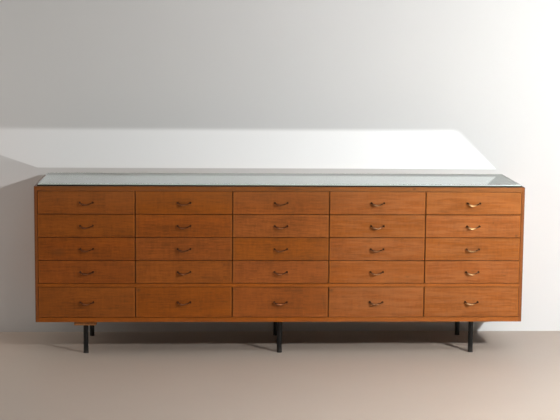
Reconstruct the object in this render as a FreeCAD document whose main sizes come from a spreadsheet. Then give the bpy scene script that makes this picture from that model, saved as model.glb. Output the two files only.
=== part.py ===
import FreeCAD, Part
import Sketcher
import math
import os

# Counter chest: five columns of five drawers in a veneered case on six steel legs, with a glass top.
# X runs along the front to the right, Y runs into the depth, Z is up. The front faces -Y.
# The origin is on the floor, under the middle of the whole chest.

doc = FreeCAD.newDocument("CounterChest")
sheet = doc.addObject("Spreadsheet::Sheet", "Sizes")


class Size:
    """A length that knows its number and the expression that gives it."""

    def __init__(self, value, text):
        self.value = value
        self.text = text

    def joined(self, other, sign, value):
        text = other.text if isinstance(other, Size) else repr(other)
        return Size(value, "(" + self.text + sign + text + ")")

    def __add__(self, other):
        return self.joined(other, " + ", self.value + number(other))

    def __sub__(self, other):
        return self.joined(other, " - ", self.value - number(other))

    def __mul__(self, other):
        return self.joined(other, " * ", self.value * number(other))

    def __truediv__(self, other):
        return self.joined(other, " / ", self.value / number(other))

    def __neg__(self):
        return self * -1


def number(length):
    return length.value if isinstance(length, Size) else length


def size(name, value):
    """Put one driving dimension into the sheet and return it."""
    row = "A" + str(size.rows)
    size.rows = size.rows + 1
    sheet.set(row, str(value))
    sheet.setAlias(row, name)
    return Size(value, "Sizes." + name)


size.rows = 1
zero = Size(0.0, "0 mm")

# Drawer fronts and the gaps round them
columns = 5
shallow_rows = 4
front_width = size("front_width", 547.2)
shallow_height = size("shallow_height", 130.0)
deep_height = size("deep_height", 175.0)
front_thickness = size("front_thickness", 20.0)
front_arris = size("front_arris", 1.0)
column_gap = size("column_gap", 6.0)
side_gap = size("side_gap", 2.0)
row_gap = size("row_gap", 3.0)
rail_gap = size("rail_gap", 2.0)

# Case panels
case_depth = size("case_depth", 600.0)
side_thickness = size("side_thickness", 18.0)
top_thickness = size("top_thickness", 25.0)
shelf_thickness = size("shelf_thickness", 19.0)
bottom_thickness = size("bottom_thickness", 26.0)
partition_thickness = size("partition_thickness", 18.0)
housing_depth = size("housing_depth", 6.0)
back_thickness = size("back_thickness", 8.0)
back_lap = size("back_lap", 10.0)
closing_gap = size("closing_gap", 0.5)

# Drawer boxes and the runners that carry them
box_thickness = size("box_thickness", 13.0)
back_board_thickness = size("back_board_thickness", 12.0)
box_play = size("box_play", 1.6)
rear_space = size("rear_space", 30.0)
side_rise = size("side_rise", 12.0)
side_drop = size("side_drop", 5.0)
tail_depth = size("tail_depth", 9.0)
tail_width = size("tail_width", 10.0)
neck_width = size("neck_width", 7.0)
panel_thickness = size("panel_thickness", 5.0)
panel_rise = size("panel_rise", 8.0)
groove_depth = size("groove_depth", 5.0)
panel_play = size("panel_play", 0.5)
back_inset = size("back_inset", 12.0)
back_drop = size("back_drop", 6.0)
running_gap = size("running_gap", 0.3)
runner_width = size("runner_width", 14.0)

# Cast bow pull
post_spacing = size("post_spacing", 72.0)
post_radius = size("post_radius", 3.6)
foot_radius = size("foot_radius", 4.6)
head_radius = size("head_radius", 4.8)
crown_radius = size("crown_radius", 2.6)
post_reach = size("post_reach", 12.0)
head_height = size("head_height", 6.0)
bow_reach = size("bow_reach", 9.0)
bow_droop = size("bow_droop", 15.0)
bow_end_radius = size("bow_end_radius", 2.4)
bow_middle_radius = size("bow_middle_radius", 4.2)

# Glass top on its black board
board_side_inset = size("board_side_inset", 16.0)
board_front_inset = size("board_front_inset", 12.0)
board_thickness = size("board_thickness", 7.0)
glass_thickness = size("glass_thickness", 8.0)
glass_bevel = size("glass_bevel", 1.0)

# Legs
leg_height = size("leg_height", 196.0)
leg_radius = size("leg_radius", 14.5)
leg_side_inset = size("leg_side_inset", 280.0)
leg_front_inset = size("leg_front_inset", 75.0)
leg_rear_inset = size("leg_rear_inset", 55.0)
plate_width = size("plate_width", 64.0)
plate_thickness = size("plate_thickness", 3.0)
glide_height = size("glide_height", 5.0)
glide_radius = size("glide_radius", 15.5)
packing_width = size("packing_width", 126.0)
packing_thickness = size("packing_thickness", 24.0)
packing_inset = size("packing_inset", 25.0)

# Lengths that follow from the ones above
column_pitch = front_width + column_gap
partition_setback = front_thickness + closing_gap
upper_space = (shallow_height + row_gap) * shallow_rows - row_gap + rail_gap * 2
lower_space = deep_height + rail_gap * 2
case_width = front_width * columns + column_gap * (columns - 1) + (side_gap + side_thickness) * 2
inner_half_width = case_width / 2 - side_thickness
pull_reach = post_reach + bow_reach + bow_middle_radius
case_front = (pull_reach - case_depth) / 2
case_back = case_front + case_depth
back_front = case_back - back_thickness
case_bottom = leg_height
floor_of_lower = case_bottom + bottom_thickness
shelf_bottom = floor_of_lower + lower_space
shelf_top = shelf_bottom + shelf_thickness
top_bottom = shelf_top + upper_space
case_top = top_bottom + top_thickness
box_half_width = (column_pitch - partition_thickness) / 2 - box_play
box_inner_half = box_half_width - box_thickness
box_length = case_depth - back_thickness - rear_space
runner_height = side_rise + rail_gap - running_gap


def bind(thing, **lengths):
    """Bind properties of an object to expressions."""
    for name, length in lengths.items():
        thing.setExpression(name, length.text)


def place(thing, x=zero, y=zero, z=zero):
    thing.setExpression("Placement.Base.x", x.text)
    thing.setExpression("Placement.Base.y", y.text)
    thing.setExpression("Placement.Base.z", z.text)


def box(name, width, depth, height, x, y, z):
    """A board by its size and its lowest corner."""
    board = doc.addObject("Part::Box", name)
    bind(board, Length=width, Width=depth, Height=height)
    place(board, x, y, z)
    return board


def group(name, members):
    """Separate solids that belong together as one piece of the chest."""
    compound = doc.addObject("Part::Compound", name)
    compound.Label = name
    compound.Links = members
    return compound


def cut(name, base, tool):
    result = doc.addObject("Part::Cut", name)
    result.Label = name
    result.Base = base
    result.Tool = tool
    return result


def origin_plane(body, role):
    return [plane for plane in body.Origin.OriginFeatures if plane.Role == role][0]


def polygon_sketch(body, name, role, points, lift=zero):
    """A closed outline of straight lines, each corner held by two dimensions from the origin."""
    sketch = body.newObject("Sketcher::SketchObject", name)
    sketch.AttachmentSupport = [(origin_plane(body, role), "")]
    sketch.MapMode = "FlatFace"
    sketch.setExpression("AttachmentOffset.Base.z", lift.text)
    corners = [FreeCAD.Vector(across.value, up.value, 0) for across, up in points]
    count = len(corners)
    for index in range(count):
        sketch.addGeometry(Part.LineSegment(corners[index], corners[(index + 1) % count]))
    for index in range(count):
        sketch.addConstraint(Sketcher.Constraint("Coincident", index, 2, (index + 1) % count, 1))
    for index, (across, up) in enumerate(points):
        hold(sketch, "DistanceX", index, across)
        hold(sketch, "DistanceY", index, up)
    return sketch


def hold(sketch, kind, index, length):
    """Fix one coordinate of a line's first end, measured from the sketch's origin."""
    axis = -2 if kind == "DistanceX" else -1
    if length is zero:
        sketch.addConstraint(Sketcher.Constraint("PointOnObject", index, 1, axis))
        return
    spot = sketch.addConstraint(Sketcher.Constraint(kind, -1, 1, index, 1, length.value))
    sketch.setExpression("Constraints[" + str(spot) + "]", length.text)


def pad(body, name, sketch, length):
    feature = body.newObject("PartDesign::Pad", name)
    feature.Profile = sketch
    feature.setExpression("Length", length.text)
    doc.recompute()
    return feature


def pocket(body, name, sketch, length, reverse=False, both_ways=False):
    """Cut a sketch into the body, and make sure that it took something away."""
    before = body.Shape.Volume
    feature = body.newObject("PartDesign::Pocket", name)
    feature.Profile = sketch
    feature.Reversed = reverse
    feature.Midplane = both_ways
    feature.setExpression("Length", length.text)
    doc.recompute()
    if not body.Shape.Volume < before - 1.0:
        raise RuntimeError(body.Label + ": " + name + " cuts nothing")
    return feature


def chamfer(body, name, base, length, wanted):
    """Break the edges of the last feature that pass the test."""
    names = []
    for index, edge in enumerate(base.Shape.Edges):
        if wanted(edge):
            names.append("Edge" + str(index + 1))
    feature = body.newObject("PartDesign::Chamfer", name)
    feature.Base = (base, names)
    feature.setExpression("Size", length.text)
    doc.recompute()
    return feature


def flat_at(edge, axis, level):
    """True where an edge lies in the plane where the named coordinate has this value."""
    return all(abs(getattr(vertex.Point, axis) - level) < 0.01 for vertex in edge.Vertexes)


# Drawer front: the sides' tails slide into stopped dovetail housings in its back
def drawer_front(name, height):
    body = doc.addObject("PartDesign::Body", name)
    half = front_width / 2
    outline = [(-half, zero), (half, zero), (half, front_thickness), (-half, front_thickness)]
    board = pad(body, name + "_board", polygon_sketch(body, name + "_outline", "XY_Plane", outline), height)
    chamfer(body, name + "_arris", board, front_arris, lambda edge: flat_at(edge, "y", 0.0))
    side_height = height - side_rise - side_drop
    for mark, sign in (("left", -1), ("right", 1)):
        tail = tail_outline(sign)
        sketch = polygon_sketch(body, name + "_" + mark + "_tail", "XY_Plane", tail, side_rise)
        pocket(body, name + "_" + mark + "_housing", sketch, side_height, reverse=True)
    groove_bottom = side_rise + panel_rise
    groove_floor = front_thickness - groove_depth
    corners = [(groove_floor, groove_bottom), (front_thickness, groove_bottom),
               (front_thickness, groove_bottom + panel_thickness), (groove_floor, groove_bottom + panel_thickness)]
    groove = polygon_sketch(body, name + "_groove", "YZ_Plane", corners)
    pocket(body, name + "_panel_groove", groove, box_inner_half * 2, both_ways=True)
    return body


def tail_outline(sign):
    """The dovetail in plan: narrow at the shoulder, wide at the end."""
    middle = (box_half_width - box_thickness / 2) * sign
    end = front_thickness - tail_depth
    return [(middle - neck_width / 2, front_thickness), (middle - tail_width / 2, end),
            (middle + tail_width / 2, end), (middle + neck_width / 2, front_thickness)]


# Drawer side: dovetail tail in front and a groove for the bottom panel
def drawer_side(name, height):
    body = doc.addObject("PartDesign::Body", name)
    outer = -box_half_width
    inner = -box_inner_half
    shoulder_left, tail_left, tail_right, shoulder_right = tail_outline(-1)
    outline = [(outer, front_thickness), shoulder_left, tail_left, tail_right, shoulder_right,
               (inner, front_thickness), (inner, box_length), (outer, box_length)]
    sketch = polygon_sketch(body, name + "_outline", "XY_Plane", outline, side_rise)
    pad(body, name + "_board", sketch, height - side_rise - side_drop)
    floor = inner - groove_depth
    low = side_rise + panel_rise
    corners = [(floor, low), (inner, low), (inner, low + panel_thickness), (floor, low + panel_thickness)]
    groove = polygon_sketch(body, name + "_groove", "XZ_Plane", corners)
    groove.AttachmentOffset = FreeCAD.Placement()
    groove.setExpression("AttachmentOffset.Base.z", (-front_thickness).text)
    pocket(body, name + "_panel_groove", groove, box_length - front_thickness)
    return body


def mirrored(name, source):
    copy = doc.addObject("Part::Mirroring", name)
    copy.Source = source
    copy.Normal = FreeCAD.Vector(1, 0, 0)
    return copy


# One drawer box: front, two sides, back and the panel in its grooves, about the middle of its front's lower edge
def drawer_pieces(kind, height):
    front = drawer_front(kind + "_front", height)
    left = drawer_side(kind + "_left_side", height)
    right = mirrored(kind + "_right_side", left)
    back_width = box_inner_half * 2
    back_bottom = side_rise + panel_rise + panel_thickness
    back_height = height - side_drop - back_drop - back_bottom
    back_near = box_length - back_inset - back_board_thickness
    back = box(kind + "_back", back_width, back_board_thickness, back_height, -back_width / 2, back_near, back_bottom)
    panel_width = (box_inner_half + groove_depth - panel_play) * 2
    panel_front = front_thickness - groove_depth + panel_play
    panel = box(kind + "_panel", panel_width, box_length - panel_front, panel_thickness,
                -panel_width / 2, panel_front, side_rise + panel_rise)
    return [front, left, right, back, panel]


def section(name, radius, x, y, z, normal):
    """One eight-sided section of a casting, square to the named direction."""
    polygon = doc.addObject("Part::RegularPolygon", name)
    polygon.Polygon = 8
    bind(polygon, Circumradius=radius)
    turn = FreeCAD.Rotation(FreeCAD.Vector(0, 0, 1), normal)
    polygon.Placement = FreeCAD.Placement(FreeCAD.Vector(), turn)
    place(polygon, x, y, z)
    return polygon


def loft(name, sections):
    body = doc.addObject("Part::Loft", name)
    body.Sections = sections
    body.Solid = True
    body.Ruled = True
    body.Linearize = True
    return body


# Bow pull: a bar that swells to its middle, droops and stands out from two turned posts
def bow_pull():
    half = post_spacing / 2
    steps = 4
    stations = []
    for step in range(-steps, steps + 1):
        along = step / steps
        swell = math.cos(math.pi / 2 * along)
        radius = bow_end_radius + (bow_middle_radius - bow_end_radius) * swell
        out = -(post_reach + bow_reach * swell)
        stations.append(section("bow_" + str(len(stations)), radius, half * along, out, -(bow_droop * swell),
                                FreeCAD.Vector(1, 0, 0)))
    pieces = [loft("bow_bar", stations)]
    for mark, sign in (("left", -1), ("right", 1)):
        head_back = post_reach - head_height / 2
        rings = [(zero, foot_radius), (head_back, post_radius), (head_back + head_height / 4, head_radius),
                 (head_back + head_height, crown_radius)]
        sections = []
        for index, (reach, radius) in enumerate(rings):
            sections.append(section(mark + "_post_" + str(index), radius, half * sign, -reach, zero,
                                    FreeCAD.Vector(0, -1, 0)))
        pieces.append(loft(mark + "_post", sections))
    pull = doc.addObject("Part::MultiFuse", "bow_pull")
    pull.Shapes = pieces
    return pull


# Leg: mounting plate, closed steel tube and glide, about the middle of the floor contact
def leg(name, height):
    plate_bottom = height - plate_thickness
    plate = box(name + "_plate", plate_width, plate_width, plate_thickness,
                -plate_width / 2, -plate_width / 2, plate_bottom)
    tube = cylinder(name + "_tube", leg_radius, plate_bottom - glide_height, glide_height)
    glide = cylinder(name + "_glide", glide_radius, glide_height, zero)
    return [plate, tube, glide]


def cylinder(name, radius, height, z):
    solid = doc.addObject("Part::Cylinder", name)
    bind(solid, Radius=radius, Height=height)
    place(solid, z=z)
    return solid


# Rows from the top: the height of each front and the level of its lower edge
def row_level(row):
    if row > shallow_rows:
        return floor_of_lower + rail_gap
    rows_below = shallow_rows - row
    return shelf_top + rail_gap + (shallow_height + row_gap) * rows_below


def column_middle(column):
    return column_pitch * (column - (columns + 1) / 2)


# Partitions and runners
def partitions(name, bottom, space):
    depth = back_front - case_front - partition_setback
    boards = []
    for index in range(1, columns):
        middle = column_middle(index) + column_pitch / 2
        boards.append(box(name + "_" + str(index), partition_thickness, depth, space + housing_depth * 2,
                          middle - partition_thickness / 2, case_front + partition_setback, bottom - housing_depth))
    return boards


def runners():
    strips = []
    length = back_front - case_front - partition_setback
    for column in range(1, columns + 1):
        for row in range(1, shallow_rows + 2):
            name = "runner_c" + str(column) + "r" + str(row)
            bottom = row_level(row) - rail_gap
            inner_edge = box_half_width + box_play - runner_width
            for mark, sign, at_side in (("left", -1, column == 1), ("right", 1, column == columns)):
                width = side_runner_width() if at_side else runner_width
                edge = inner_edge if sign > 0 else -(inner_edge + width)
                strips.append(box(name + "_" + mark, width, length, runner_height,
                                  column_middle(column) + edge, case_front + partition_setback, bottom))
    return strips


def side_runner_width():
    """The side panels stand further from the drawer boxes than the partitions do."""
    reach = inner_half_width - column_middle(columns)
    return reach - box_half_width - box_play + runner_width


def build_case():
    upper = partitions("upper_partition", shelf_top, upper_space)
    lower = partitions("lower_partition", floor_of_lower, lower_space)
    back_width = case_width - side_thickness
    back_bottom = case_bottom + back_lap
    back_height = case_top - back_lap - back_bottom
    back = box("back_panel", back_width, back_thickness, back_height, -back_width / 2, back_front, back_bottom)
    inner_width = inner_half_width * 2
    top = box("top_board", inner_width, case_depth, top_thickness, -inner_half_width, case_front, top_bottom)
    bottom = box("bottom_board", inner_width, case_depth, bottom_thickness, -inner_half_width, case_front, case_bottom)
    shelf = box("shelf_board", inner_width, back_front - case_front, shelf_thickness,
                -inner_half_width, case_front, shelf_bottom)
    left = box("left_board", side_thickness, case_depth, case_top - case_bottom,
               -(case_width / 2), case_front, case_bottom)
    right = box("right_board", side_thickness, case_depth, case_top - case_bottom,
                inner_half_width, case_front, case_bottom)
    upper_group = group("upper_partitions", upper)
    lower_group = group("lower_partitions", lower)
    top_panel = cut("top_panel", cut("top_rebated", top, back), upper_group)
    bottom_panel = cut("bottom_panel", cut("bottom_rebated", bottom, back), lower_group)
    middle_shelf = cut("middle_shelf", cut("shelf_housed", shelf, upper_group), lower_group)
    side_panels = group("side_panels", [cut("left_side", left, back), cut("right_side", right, back)])
    dividers = group("partitions_and_runners", upper + lower + runners())
    return [top_panel, bottom_panel, middle_shelf, side_panels, dividers, back]


# Black board and the bevelled glass sheet on it
def build_top():
    half = case_width / 2 - board_side_inset
    front = case_front + board_front_inset
    depth = case_depth - board_front_inset * 2
    board = box("black_board", half * 2, depth, board_thickness, -half, front, case_top)
    body = doc.addObject("PartDesign::Body", "glass_top")
    back = front + depth
    outline = [(-half, front), (half, front), (half, back), (-half, back)]
    sheet_level = case_top + board_thickness
    sketch = polygon_sketch(body, "glass_outline", "XY_Plane", outline, sheet_level)
    glass = pad(body, "glass_sheet", sketch, glass_thickness)
    top_level = (sheet_level + glass_thickness).value
    chamfer(body, "glass_edges", glass, glass_bevel, lambda edge: flat_at(edge, "z", top_level))
    return [board, body]


def build_legs():
    long_leg = leg("long_leg", leg_height)
    short_leg = leg("short_leg", leg_height - packing_thickness)
    outer = case_width / 2 - leg_side_inset
    rows = (("front", case_front + leg_front_inset), ("rear", case_back - leg_rear_inset))
    places = (("left", -outer, short_leg), ("middle", zero, long_leg), ("right", outer, long_leg))
    legs = []
    for row, y in rows:
        for side, x, pieces in places:
            one = group(row + "_" + side + "_leg", pieces)
            place(one, x, y)
            legs.append(one)
    packing = box("packing_board", packing_width, case_depth - packing_inset * 2, packing_thickness,
                  -(outer + packing_width / 2), case_front + packing_inset, case_bottom - packing_thickness)
    return [group("legs", legs), packing]


def build_drawers():
    shallow = drawer_pieces("shallow", shallow_height)
    deep = drawer_pieces("deep", deep_height)
    pull = bow_pull()
    pieces = []
    for column in range(1, columns + 1):
        for row in range(1, shallow_rows + 2):
            mark = "c" + str(column) + "r" + str(row)
            is_deep = row > shallow_rows
            drawer = group("drawer_" + mark, deep if is_deep else shallow)
            place(drawer, column_middle(column), case_front, row_level(row))
            handle = group("pull_" + mark, [pull])
            height = deep_height if is_deep else shallow_height
            place(handle, column_middle(column), case_front, row_level(row) + height / 2)
            pieces = pieces + [drawer, handle]
    return pieces


def check(nodes):
    """Every object is up to date and every piece has a sound shape."""
    for thing in doc.Objects:
        if "Invalid" in thing.State or "Error" in thing.State:
            raise RuntimeError("failed: " + thing.Label + " " + str(thing.State))
    for node in nodes:
        if node.Shape.isNull() or not node.Shape.isValid():
            raise RuntimeError("bad shape: " + node.Label)


def main():
    doc.recompute()
    nodes = build_case() + build_top() + build_legs() + build_drawers()
    doc.recompute()
    check(nodes)
    os.makedirs("parts", exist_ok=True)
    for node in nodes:
        node.Shape.exportStep("parts/" + node.Label + ".step")
    print(len(nodes), "pieces,", round(case_width.value, 1), "mm wide")


main()
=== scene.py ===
import math

import bpy
import numpy as np
from mathutils import Matrix, Vector


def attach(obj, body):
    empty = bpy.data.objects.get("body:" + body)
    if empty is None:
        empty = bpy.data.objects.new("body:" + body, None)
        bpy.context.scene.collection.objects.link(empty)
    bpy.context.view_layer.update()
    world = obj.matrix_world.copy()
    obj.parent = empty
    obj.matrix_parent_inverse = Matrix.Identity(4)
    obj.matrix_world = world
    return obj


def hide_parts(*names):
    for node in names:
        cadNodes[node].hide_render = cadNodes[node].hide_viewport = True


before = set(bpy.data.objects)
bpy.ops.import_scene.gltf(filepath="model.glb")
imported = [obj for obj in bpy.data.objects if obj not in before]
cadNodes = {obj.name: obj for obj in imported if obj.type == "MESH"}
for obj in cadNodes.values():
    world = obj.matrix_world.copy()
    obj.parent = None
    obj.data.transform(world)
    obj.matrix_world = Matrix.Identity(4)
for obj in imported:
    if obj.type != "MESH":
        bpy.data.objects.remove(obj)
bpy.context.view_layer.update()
print("frame loaded with", len(cadNodes), "nodes")

# Places that several pieces share, in metres; columns count from the left and rows from the top
chest = dict(
    columns=5, rows=5, columnPitch=0.5532, frontFace=-0.2874, frontBack=-0.2674, rearFace=0.3126,
    rowMiddles=(0.886, 0.753, 0.620, 0.487, 0.3115),
)
drawerPlaces = [(column, row) for column in range(1, chest["columns"] + 1)
                for row in range(1, chest["rows"] + 1)]


# Middle of one drawer's front, as x and z
def frontMiddle(column, row):
    return (column - (chest["columns"] + 1) / 2) * chest["columnPitch"], chest["rowMiddles"][row - 1]


# Shader helpers

# One shader node; its inputs are plain values or other nodes' sockets
def addNode(tree, kind, inputs=None, **settings):
    made = tree.nodes.new("ShaderNode" + kind)
    for key, value in settings.items():
        setattr(made, key, value)
    for slot, value in (inputs or {}).items():
        if isinstance(value, bpy.types.NodeSocket):
            tree.links.new(value, made.inputs[slot])
        else:
            made.inputs[slot].default_value = value
    return made


def calc(tree, operation, first, second=0.0, third=0.0):
    return addNode(tree, "Math", {0: first, 1: second, 2: third}, operation=operation).outputs[0]


def product(tree, first, second):
    return calc(tree, "MULTIPLY", first, second)


# value * factor + base
def scaled(tree, value, factor, base):
    return calc(tree, "MULTIPLY_ADD", value, factor, base)


def vectorCalc(tree, operation, first, second=(0.0, 0.0, 0.0)):
    made = addNode(tree, "VectorMath", {0: first, 1: second}, operation=operation)
    return made.outputs["Value" if operation == "LENGTH" else "Vector"]


def mixColor(tree, share, first, second):
    return addNode(tree, "Mix", {0: share, 6: first, 7: second}, data_type="RGBA").outputs[2]


def mixValue(tree, share, first, second):
    return addNode(tree, "Mix", {0: share, 2: first, 3: second}, data_type="FLOAT").outputs[0]


# 0 below low, 1 above high and a smooth rise between them; high below low turns it round
def smoothRise(tree, value, low, high):
    return addNode(tree, "MapRange", {0: value, 1: low, 2: high, 3: 0.0, 4: 1.0},
                   interpolation_type="SMOOTHSTEP").outputs[0]


def axesOf(tree, place):
    return addNode(tree, "SeparateXYZ", {0: place}).outputs


def joinVector(tree, x, y, z):
    return addNode(tree, "CombineXYZ", {0: x, 1: y, 2: z}).outputs[0]


def noiseAt(tree, place, stretch, detail=2.0, roughness=0.5, distortion=0.0):
    stretched = vectorCalc(tree, "MULTIPLY", place, stretch)
    return addNode(tree, "TexNoise", {"Vector": stretched, "Scale": 1.0, "Detail": detail,
                   "Roughness": roughness, "Distortion": distortion}).outputs[0]


# A chance value and colour that stay the same for the same three numbers
def chanceFor(tree, first, second, third):
    return addNode(tree, "TexWhiteNoise", {"Vector": joinVector(tree, first, second, third)},
                   noise_dimensions="3D").outputs


def rgb(values):
    return (*values, 1.0)


# From the first of two colours to the second, by the share
def shades(tree, share, colors):
    return mixColor(tree, share, rgb(colors[0]), rgb(colors[1]))


# Tints a colour where the mask is 1; a tint is its strength and its colour
def tinted(tree, color, mask, tint):
    return mixColor(tree, product(tree, mask, tint[0]), color, rgb(tint[1]))


def adjusted(tree, color, hue, saturation, value):
    return addNode(tree, "HueSaturation", {"Hue": hue, "Saturation": saturation, "Value": value, "Fac": 1.0,
                   "Color": color}).outputs[0]


def startMaterial(name):
    material = bpy.data.materials.new(name)
    material.use_nodes = True
    tree = material.node_tree
    tree.nodes.clear()
    place = addNode(tree, "TexCoord").outputs["Object"]
    return material, tree, place


# Closes a material with one principled shader; bump depth is in metres, and fixed holds further sockets
def finishMaterial(material, color, roughness, height=None, depth=0.0, fixed=None):
    tree = material.node_tree
    shader = addNode(tree, "BsdfPrincipled", {"Base Color": color, "Roughness": roughness, **(fixed or {})})
    if height is not None:
        bump = addNode(tree, "Bump", {"Strength": 1.0, "Distance": depth, "Height": height})
        tree.links.new(bump.outputs[0], shader.inputs["Normal"])
    addNode(tree, "OutputMaterial", {0: shader.outputs[0]})
    return material


# Closes a veneered board: colour, roughness and height of two faces, the second where the mask is 1
def finishVeneered(material, mask, firstFace, secondFace):
    color, roughness, height = (mix(material.node_tree, mask, first, second) for mix, first, second
                                in zip((mixColor, mixValue, mixValue), firstFace, secondFace))
    return finishMaterial(material, color, roughness, height, veneer["bump"], satin)


# Wood

# Noise behind each part of the grain: stretch along, across and through it, detail, roughness, distortion
grainNoise = dict(
    broad=((1.3, 10.0, 17.0), 2.0, 0.5, 0.4), streak=((8.0, 60.0, 100.0), 2.0, 0.6),
    fibre=((24.0, 170.0, 300.0), 2.0, 0.6), cloud=((6.0, 9.0, 11.0), 2.0),
    ripple=((70.0, 20.0, 16.0), 3.0, 0.65),
)
poreNoise = dict(stretch=(42.0, 700.0, 1300.0), span=(0.60, 0.72))
driftStretch = (2.2, 3.0, 5.0)

# Each wood's two colours, the tint of its pores and how much it shows of each part of the grain
teak = dict(colors=((0.118, 0.0218, 0.0010), (0.322, 0.0736, 0.0040)), pores=(0.24, (0.074, 0.015, 0.0012)),
            broad=0.55, streak=1.10, fibre=1.35, cloud=0.70, ripple=0.95,
            lines=0.05, linesPerMetre=62.0, lineDrift=0.05)
boxWood = dict(colors=((0.34, 0.19, 0.085), (0.58, 0.37, 0.19)), pores=(0.25, (0.22, 0.12, 0.055)),
               broad=0.6, streak=0.6, fibre=0.5, cloud=0.4, ripple=0.1,
               lines=0.06, linesPerMetre=45.0, lineDrift=0.06)
caseBoard = dict(colors=((0.26, 0.14, 0.062), (0.44, 0.26, 0.13)), pores=(0.25, (0.16, 0.085, 0.04)),
                 broad=0.6, streak=0.6, fibre=0.5, cloud=0.5, ripple=0.1,
                 lines=0.05, linesPerMetre=38.0, lineDrift=0.07)

# The finish over the teak: its gloss takes the wood's own colour, because it comes back from the fibres
satin = {"IOR": 1.6, "Specular IOR Level": 0.9, "Specular Tint": (1.0, 0.52, 0.20, 1.0)}
# painted light: the wood is painted paler towards the right end, standing in for the stronger light and
# sheen there
veneer = dict(bump=0.00012, palerSpan=(0.10, 0.50))  # palerSpan: from which x to which the wood turns paler


# Grain that runs along the first axis of its place: broad streaks, growth lines, fine fibre and pores.
# Gives the colour and the surface height.
def woodGrain(tree, grainPlace, wood):
    noises = {part: noiseAt(tree, grainPlace, *settings) for part, settings in grainNoise.items()}
    share = 0.5
    for part, noise in noises.items():
        share = calc(tree, "ADD", share, scaled(tree, noise, wood[part], -0.5 * wood[part]))
    drift = noiseAt(tree, grainPlace, driftStretch, detail=1.0)
    level = scaled(tree, drift, wood["lineDrift"], axesOf(tree, grainPlace)[2])
    lines = calc(tree, "SINE", product(tree, level, wood["linesPerMetre"] * 2.0 * math.pi))
    share = scaled(tree, lines, wood["lines"], share)
    color = shades(tree, share, wood["colors"])
    pores = smoothRise(tree, noiseAt(tree, grainPlace, poreNoise["stretch"], detail=1.0), *poreNoise["span"])
    color = tinted(tree, color, pores, wood["pores"])
    height = calc(tree, "SUBTRACT", product(tree, noises["fibre"], 0.5), pores)
    return color, height


# Marks of use on the front, in metres: middle x, middle z, half width, half height, depth of the mark.
# The last three are broad dull patches.
frontMarks = (
    (-1.268, 0.897, 0.006, 0.020, 0.40), (-1.262, 0.908, 0.010, 0.008, 0.30),
    (-1.269, 0.603, 0.055, 0.030, 0.42), (-0.813, 0.381, 0.016, 0.012, 0.75),
    (0.291, 0.380, 0.018, 0.012, 0.75), (-0.262, 0.388, 0.012, 0.008, 0.55),
    (1.222, 0.773, 0.006, 0.006, 0.65), (1.357, 0.698, 0.012, 0.010, 0.75),
    (1.294, 0.465, 0.014, 0.004, 0.65), (0.732, 0.459, 0.014, 0.005, 0.55),
    (-0.170, 0.474, 0.020, 0.005, 0.35), (0.015, 0.967, 0.060, 0.009, 0.70),
    (0.090, 0.964, 0.040, 0.006, 0.45), (0.762, 0.968, 0.013, 0.007, 0.80),
    (0.930, 0.838, 0.050, 0.007, 0.45), (1.120, 0.960, 0.050, 0.007, 0.35),
    (0.250, 0.300, 0.008, 0.030, 0.35), (-0.420, 0.459, 0.050, 0.006, 0.25),
    (0.020, 0.905, 0.560, 0.085, 0.26), (0.000, 0.300, 0.420, 0.110, 0.10),
    (-0.100, 0.600, 0.460, 0.200, 0.07),
)
markEdge = (1.15, 0.15)  # where a mark ends and where it is full, as shares of its half size


# Darkening from the marks of use: one smooth oval each, added up
def markShade(tree, across, up):
    total = 0.0
    for middleX, middleZ, halfWidth, halfHeight, depth in frontMarks:
        flat = joinVector(tree, scaled(tree, across, 1 / halfWidth, -middleX / halfWidth),
                          scaled(tree, up, 1 / halfHeight, -middleZ / halfHeight), 0.0)
        oval = smoothRise(tree, vectorCalc(tree, "LENGTH", flat), *markEdge)
        total = scaled(tree, oval, depth, total)
    return total


# Materials. In each dictionary two colours are what a noise or a mask goes between, a number with a colour
# is a tint, a span is where something begins and where it is full, and other pairs are a factor and its
# base. Lengths are in metres.

# Drawers: teak veneer on the front, each front its own sheet with its own tone, and plain hardwood behind
drawerLook = dict(
    rowSeams=(0.41, 0.5535, 0.6865, 0.8195), halfWidth=0.2736, deepHalf=0.0875, shallowHalf=0.065,
    sheetSeed=4.0, sheetShift=(7.3, 4.1, 2.9), jointPlace=(0.9, -0.22), jointTone=(0.06, -0.03),
    tone=(0.09, 0.955), hue=(0.004, 0.498), saturation=(0.04, 0.96),
    paler=0.32, palerWood=((0.240, 0.072, 0.020), (0.430, 0.175, 0.070)), figureSpan=(0.35, 0.65),
    fadedSpan=(0.84, 0.96), faded=(0.55, (0.250, 0.088, 0.026)),
    lippingWidth=0.008, lipping=(0.35, (0.430, 0.120, 0.016)),
    hairlineHalf=0.0005, hairline=(0.5, (0.066, 0.019, 0.006)),
    edgeDarkeningSpan=(0.007, 0.0), edgeDarkening=(0.4, (0.076, 0.022, 0.007)),
    handWidth=0.085, handHeight=0.038, handDrop=0.004, handSpan=(1.2, 0.3),
    handled=(0.07, (0.117, 0.032, 0.009)), markColor=(0.055, 0.017, 0.008),
    panelHalf=0.2545, panelLevel=0.026, panel=(0.35, (0.50, 0.30, 0.15)), boxShift=3.3,
    veneerBack=-0.2672, gloss=(0.16, 0.36), boxRoughness=0.6,
)


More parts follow.
